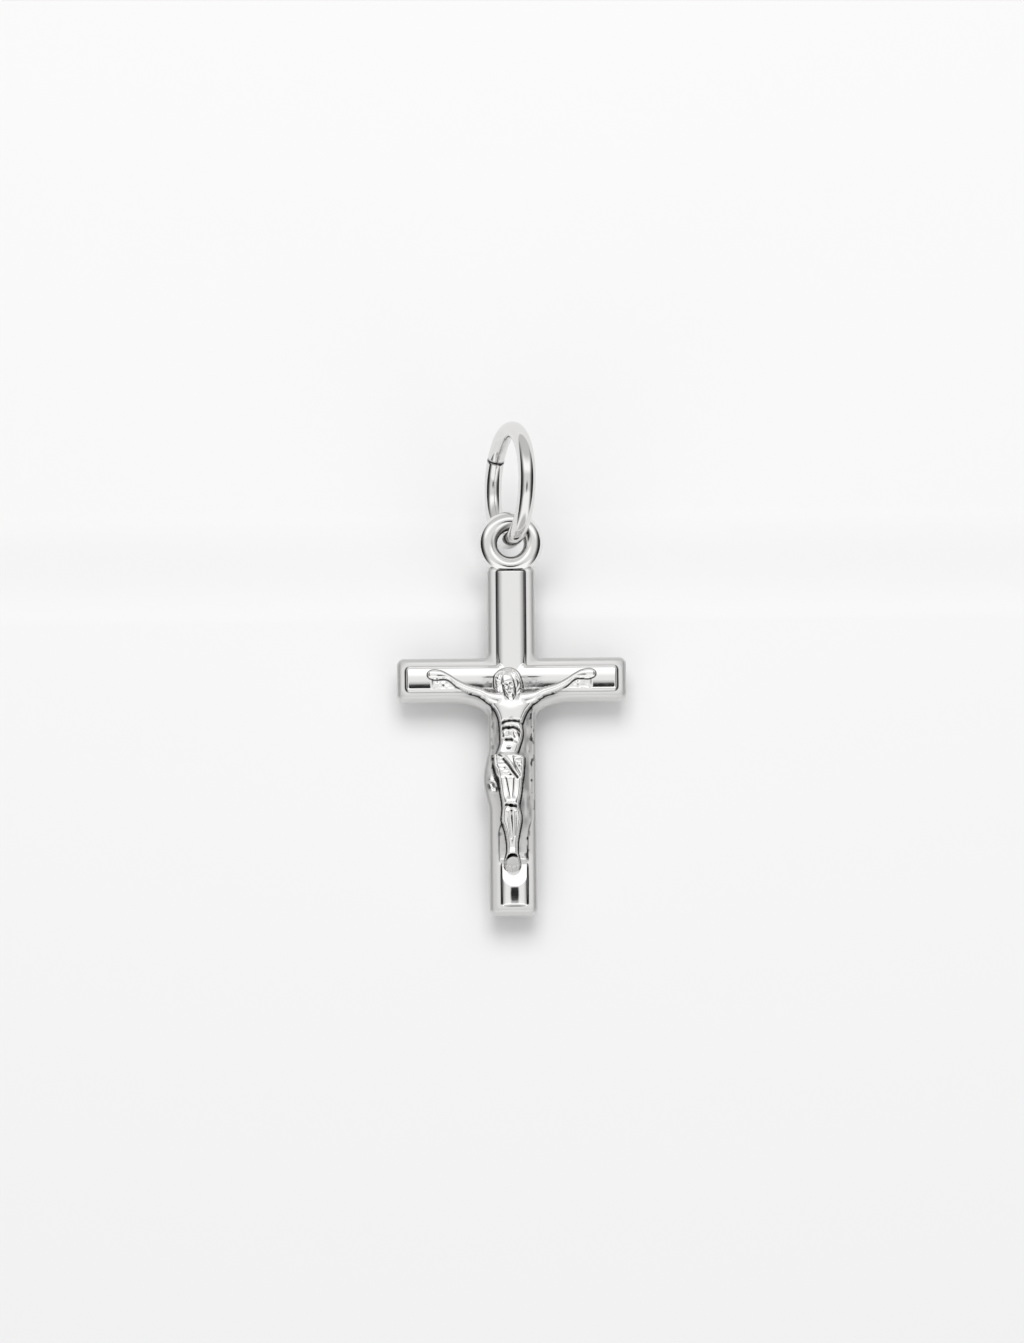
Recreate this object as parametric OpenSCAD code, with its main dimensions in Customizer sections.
/* [Cross] */
// Width of the cross from arm end to arm end
cross_w = 12; // [10:0.5:15]
// Length of the upright above the middle of the crossbar
head_l = 6; // [5:0.25:8]
// Length of the upright below the middle of the crossbar
foot_l = 12.4; // [11.6:0.2:15]
// Width of the upright
post_w = 2.5; // [2.2:0.1:3]
// Width of the crossbar
beam_w = 2.25; // [2:0.05:2.8]
// Height of the border band above the flat back
band_h = 1.05; // [0.9:0.05:1.4]
// Width of the border band round the raised panel
band_w = 0.45; // [0.35:0.05:0.6]
// Radius of the band's outer front edge
edge_r = 0.3; // [0.15:0.05:0.35]
// Radius of the corners of the arm ends, seen from the front
corner_r = 0.38; // [0.2:0.02:0.6]
// Radius of the fillets above the crossbar
nook_r = 0.3; // [0.2:0.05:0.6]

/* [Panel] */
// Step from the band up to the edge of the panel
step_h = 0.2; // [0.1:0.02:0.3]
// Rise of the panel's dome above its edge
dome_h = 0.15; // [0.1:0.01:0.4]
// Length of the slope at each end of the panel
slope_l = 0.28; // [0.1:0.02:0.5]
// Length of the panel below the figure's feet
foot_panel_l = 2; // [1.4:0.05:2.2]
// Length of the slope that rises from the feet to the crest of that panel
foot_slope_l = 0.95; // [0.4:0.05:1.1]

/* [Webs] */
// Length of the web of metal under each arm, from the upright
web_l = 1.75; // [1:0.05:2.5]
// Depth of that web, down from the crossbar
web_d = 0.75; // [0.5:0.05:1.2]

/* [Figure] */
// Height of the figure from crown to toes
figure_h = 10.8; // [10:0.1:11]
// Height of the crown above the middle of the crossbar
crown_up = 0.51; // [0.4:0.01:0.9]
// Reach from fingertip to fingertip
reach = 8.8; // [7.5:0.1:9.5]
// Width of the hips
hip_w = 1.8; // [1.5:0.05:2]
// Height of the relief above the crest of the panel
relief_h = 0.73; // [0.5:0.01:1.1]
// Height of the head with its hair
head_h = 1.85; // [1.6:0.05:2]
// Width of the head with its hair
head_w = 1.4; // [1.2:0.05:1.6]
// Lean of the head to the left of the picture
head_tilt = 12; // [0:1:20]

/* [Eye] */
// Diameter of the hole in the eye
eye_hole = 1.38; // [1.3:0.02:2]
// Thickness of the eye's round section
eye_wire = 1.02; // [0.8:0.02:1.1]
// Depth that the eye is let into the top of the cross
eye_sink = 0.5; // [0.2:0.02:0.7]
// Height of the eye's middle plane above the flat back
eye_level = 0.66; // [0.55:0.02:0.9]

/* [Jump ring] */
// Inner diameter of the jump ring
ring_inside = 4.95; // [4.5:0.05:7]
// Diameter of the jump ring's wire
ring_wire = 0.9; // [0.7:0.02:1]
// Turn of the jump ring away from the plane of the cross
ring_turn = 72; // [60:1:90]
// Place of the cut seam, measured round the ring from its front limb
seam_at = 143; // [100:1:170]
// Width of the cut seam
seam_gap = 0.05; // [0.03:0.01:0.1]
// Running gap between the jump ring and the eye that hangs on it
hang_gap = 0.05; // [0.03:0.01:0.08]

/* [Hidden] */
$fn = 64;

crest_h = band_h + step_h + dome_h;
ring_r = (ring_inside + ring_wire) / 2;
eye_r = (eye_hole + eye_wire) / 2;
pivot_z = -(ring_inside + ring_wire / 2);
eye_z = pivot_z - (eye_hole - ring_wire) / 2 + hang_gap;
crossing_z = eye_z - eye_r - eye_wire / 2 + eye_sink - head_l;

// Relief tables. Columns: down the figure and to the right as shares of figure_h and hip_w,
// width as a share of hip_w, rise above the panel's crest as a share of relief_h.
TRUNK = [
    [0.100, -0.02, 0.40, 0.40],
    [0.128, -0.02, 0.74, 0.52],
    [0.150, -0.02, 1.12, 0.62],
    [0.180, -0.03, 1.10, 0.80],
    [0.216, -0.01, 0.90, 0.90],
    [0.262, -0.02, 0.72, 0.88],
    [0.290, -0.02, 0.66, 0.62],
    [0.325, -0.03, 0.62, 0.66],
    [0.365, -0.04, 0.66, 0.58],
    [0.402, -0.07, 0.82, 0.66],
    [0.440, -0.09, 0.94, 0.72],
    [0.500, -0.08, 0.86, 0.70]];
LOINCLOTH = [
    [0.382, -0.05, 0.72, 0.60],
    [0.398, -0.06, 0.86, 0.78],
    [0.425, -0.08, 0.98, 0.84],
    [0.460, -0.09, 0.98, 0.80],
    [0.500, -0.09, 0.92, 0.78],
    [0.528, -0.08, 0.86, 0.72],
    [0.540, -0.08, 0.80, 0.56]];
DRAPE = [
    [0.390, -0.26, 0.14, 0.80],
    [0.420, -0.14, 0.18, 0.98],
    [0.460, 0.02, 0.20, 1.00],
    [0.500, 0.14, 0.18, 0.94],
    [0.530, 0.20, 0.12, 0.74]];
FOLD = [
    [0.400, 0.30, 0.10, 0.72],
    [0.425, 0.16, 0.14, 0.94],
    [0.450, 0.00, 0.14, 1.00],
    [0.470, -0.16, 0.12, 0.92],
    [0.485, -0.34, 0.10, 0.70]];
KNOT = [
    [0.385, -0.52, 0.16, -0.30],
    [0.440, -0.62, 0.28, -0.22],
    [0.500, -0.65, 0.34, -0.12],
    [0.560, -0.66, 0.38, -0.10],
    [0.600, -0.66, 0.37, -0.14],
    [0.640, -0.62, 0.32, -0.24],
    [0.665, -0.52, 0.20, -0.32]];
LEFT_LEG = [
    [0.470, -0.30, 0.48, 0.68],
    [0.525, -0.26, 0.46, 0.72],
    [0.598, -0.21, 0.42, 0.78],
    [0.650, -0.15, 0.34, 0.90],
    [0.668, -0.14, 0.30, 0.78],
    [0.690, -0.14, 0.29, 0.62],
    [0.744, -0.13, 0.33, 0.58],
    [0.804, -0.07, 0.26, 0.46],
    [0.868, -0.03, 0.22, 0.44],
    [0.915, -0.04, 0.24, 0.50],
    [0.930, -0.04, 0.16, 0.30]];
RIGHT_LEG = [
    [0.470, 0.13, 0.50, 0.68],
    [0.525, 0.13, 0.50, 0.72],
    [0.598, 0.12, 0.44, 0.78],
    [0.650, 0.09, 0.34, 0.94],
    [0.668, 0.08, 0.30, 0.80],
    [0.690, 0.10, 0.30, 0.66],
    [0.744, 0.16, 0.34, 0.62],
    [0.804, 0.12, 0.27, 0.52],
    [0.868, 0.08, 0.23, 0.50],
    [0.905, 0.08, 0.26, 0.60],
    [0.922, 0.08, 0.16, 0.36]];
FEET = [
    [0.900, 0.04, 0.26, 0.14],
    [0.920, 0.04, 0.42, 0.34],
    [0.945, 0.04, 0.49, 0.38],
    [0.970, 0.03, 0.48, 0.30],
    [0.990, 0.03, 0.38, 0.18],
    [1.000, 0.03, 0.24, 0.06]];
// Columns: out from the middle as a share of half the reach, down as a share of figure_h,
// width as a share of hip_w, rise as a share of relief_h.
ARM = [
    [0.120, 0.170, 0.40, 0.62],
    [0.230, 0.146, 0.34, 0.60],
    [0.350, 0.122, 0.27, 0.50],
    [0.480, 0.105, 0.24, 0.44],
    [0.640, 0.066, 0.23, 0.42],
    [0.770, 0.030, 0.18, 0.38],
    [0.830, 0.024, 0.24, 0.42],
    [0.900, 0.022, 0.29, 0.46],
    [0.960, 0.024, 0.25, 0.38],
    [1.000, 0.025, 0.12, 0.16]];
// Columns: down the head and across as shares of head_h and head_w, width as a share of
// head_w, rise as a share of relief_h.
HAIR = [
    [0.00, 0.00, 0.34, 0.30],
    [0.06, 0.00, 0.64, 0.58],
    [0.20, 0.00, 0.92, 0.86],
    [0.42, 0.00, 1.00, 0.94],
    [0.66, 0.00, 0.98, 0.78],
    [0.86, 0.00, 0.84, 0.62],
    [1.00, 0.00, 0.56, 0.46]];
FACE = [
    [0.14, 0.00, 0.30, 0.88],
    [0.24, 0.00, 0.46, 1.00],
    [0.44, 0.00, 0.54, 1.06],
    [0.66, 0.00, 0.48, 1.06],
    [0.84, 0.00, 0.38, 1.02],
    [0.96, 0.00, 0.20, 0.80]];
NOSE = [
    [0.38, 0.00, 0.08, 1.06],
    [0.50, 0.00, 0.10, 1.14],
    [0.60, 0.00, 0.16, 1.20],
    [0.64, 0.00, 0.12, 1.06]];
// Steps that the surface takes between two rows, and facets across its front
ROW_STEPS = 2;
FRONT_FACETS = 10;
// Level where the relief is widest, and the level it is sunk to, as heights above the back
waist_z = band_h + step_h * 0.6;
sink_z = band_h / 2;
// Middle of the hands and of the head, to the right of the upright's middle
hands_x = -0.06;
head_x = -0.19;

// A front corner section: a wall of width w with both front edges rounded
module wall_section(w) {
    translate([-w / 2, 0]) square([w, band_h - edge_r]);
    translate([edge_r - w / 2, 0]) square([w - 2 * edge_r, band_h]);
    for (side = [-1, 1])
        translate([side * (w / 2 - edge_r), band_h - edge_r]) circle(edge_r);
}

// The domed panel's section across a bar of width w
module dome_section(w) {
    half = w / 2 - band_w;
    dome_r = (half * half + dome_h * dome_h) / (2 * dome_h);
    intersection() {
        translate([-half, 0]) square([2 * half, crest_h]);
        translate([0, crest_h - dome_r]) circle(dome_r);
    }
}

// A raised panel seen from the side of its bar, with a slope at each end
module panel_side(low, high, low_slope, high_slope) {
    polygon([[low, 0], [high, 0], [high, band_h], [high - high_slope, crest_h],
             [low + low_slope, crest_h], [low, band_h]]);
}

module plan_section(w, len) {
    square([w - 2 * corner_r, len], center = true);
    square([w, len - 2 * corner_r], center = true);
    for (x = [-1, 1], y = [-1, 1])
        translate([x * (w / 2 - corner_r), y * (len / 2 - corner_r)]) circle(corner_r);
}

// A bar from low to high along Y, lying on its back, with its panels drawn by the children
module bar(w, low, high) {
    intersection() {
        translate([0, high, 0]) rotate([90, 0, 0])
            linear_extrude(height = high - low) { wall_section(w); dome_section(w); }
        rotate([90, 0, 90]) linear_extrude(height = w, center = true) {
            translate([(low + high) / 2, 0]) wall_section(high - low);
            children();
        }
        linear_extrude(height = crest_h)
            translate([0, (low + high) / 2]) plan_section(w, high - low);
    }
}

module nook() {
    translate([post_w / 2, beam_w / 2, 0]) linear_extrude(height = band_h - edge_r)
        difference() {
            translate([-edge_r, -edge_r]) square(nook_r + edge_r);
            translate([nook_r, nook_r]) circle(nook_r);
        }
}

module web() {
    translate([post_w / 2, -beam_w / 2, 0]) linear_extrude(height = band_h - edge_r)
        polygon([[-edge_r, edge_r], [web_l, edge_r], [web_l, 0], [web_l * 0.2, -web_d * 0.5],
                 [0, -web_d], [-edge_r, -web_d]]);
}

module cross() {
    // Below the crossbar the ground behind the figure lies at the height of the band
    bar(post_w, -foot_l, head_l) {
        panel_side(band_w - beam_w / 2, head_l - band_w, 0, slope_l);
        panel_side(band_w - foot_l, foot_panel_l + band_w - foot_l, slope_l, foot_slope_l);
    }
    rotate([0, 0, 90]) bar(beam_w, -cross_w / 2, cross_w / 2)
        panel_side(band_w - cross_w / 2, cross_w / 2 - band_w, slope_l, slope_l);
    for (side = [0, 1]) mirror([side, 0, 0]) {
        nook();
        web();
    }
}

module eye() {
    translate([0, head_l + eye_r + eye_wire / 2 - eye_sink, eye_level])
        rotate_extrude() translate([eye_r, 0]) circle(d = eye_wire);
}

// Smooth curve through the rows of a table
function between(a, b, c, d, t) = 0.5 * (2 * b + (c - a) * t + (2 * a - 5 * b + 4 * c - d) * t * t
                                         + (3 * b - a - 3 * c + d) * t * t * t);
function smoothed(rows) = let (last = len(rows) - 1) [
    for (i = [0:last - 1], k = [0:ROW_STEPS - 1])
        between(rows[max(i - 1, 0)], rows[i], rows[i + 1], rows[min(i + 2, last)], k / ROW_STEPS),
    rows[last]];

// Direction across the path at row i, seen from the front
function across(rows, i) = let (a = rows[max(i - 1, 0)], b = rows[min(i + 1, len(rows) - 1)],
                                d = [b[0] - a[0], b[1] - a[1]]) [-d[1], d[0]] / norm(d);

// Solid through rows of [x, y, width, top], round in front and flat where it sinks into the cross
module relief(rows) {
    n = FRONT_FACETS + 3;
    points = [for (i = [0:len(rows) - 1], j = [0:n - 1]) let (
        side = across(rows, i), half = rows[i][2] / 2, a = 180 * j / FRONT_FACETS,
        u = j <= FRONT_FACETS ? cos(a) : (j == n - 2 ? -1 : 1),
        z = j <= FRONT_FACETS ? waist_z + (rows[i][3] - waist_z) * sin(a) : sink_z)
        [rows[i][0] + side[0] * half * u, rows[i][1] + side[1] * half * u, z]];
    last = (len(rows) - 1) * n;
    faces = [
        [for (j = [0:n - 1]) j],
        [for (j = [n - 1:-1:0]) last + j],
        for (i = [0:len(rows) - 2], j = [0:n - 1]) let (k = (j + 1) % n)
            [i * n + k, i * n + j, (i + 1) * n + j, (i + 1) * n + k]];
    polyhedron(points, faces);
}

module body_part(table) {
    relief(smoothed([for (r = table) [r[1] * hip_w, crown_up - r[0] * figure_h, r[2] * hip_w,
                                      crest_h + r[3] * relief_h]]));
}

module arm(side) {
    relief(smoothed([for (r = ARM) [hands_x + side * r[0] * reach / 2,
                                    crown_up - r[1] * figure_h, r[2] * hip_w,
                                    crest_h + r[3] * relief_h]]));
}

module head_part(table) {
    translate([head_x, crown_up - head_h / 2]) rotate([0, 0, head_tilt])
        relief(smoothed([for (r = table) [r[1] * head_w, head_h / 2 - r[0] * head_h, r[2] * head_w,
                                          crest_h + r[3] * relief_h]]));
}

module figure() {
    for (table = [TRUNK, LOINCLOTH, DRAPE, FOLD, KNOT, LEFT_LEG, RIGHT_LEG, FEET])
        body_part(table);
    for (side = [-1, 1]) arm(side);
    for (table = [HAIR, FACE, NOSE]) head_part(table);
}

// Stands the casting up, facing -Y, with its eye hung on the ring
module hung() {
    translate([0, eye_level, crossing_z]) rotate([90, 0, 0]) children();
}

module crucifix() {
    color("silver") {
        hung() {
            cross();
            eye();
        }
        hung() figure();
    }
}

// The wire starts and ends at the cut seam
module jump_ring() {
    seam_half = asin(seam_gap / 2 / ring_r);
    color("gainsboro") translate([0, 0, -ring_inside / 2]) rotate([0, 0, -ring_turn]) rotate([90, 0, 0])
        rotate([0, 0, seam_at + seam_half]) rotate_extrude(angle = 360 - 2 * seam_half)
            translate([ring_r, 0]) circle(d = ring_wire);
}

crucifix();
jump_ring();
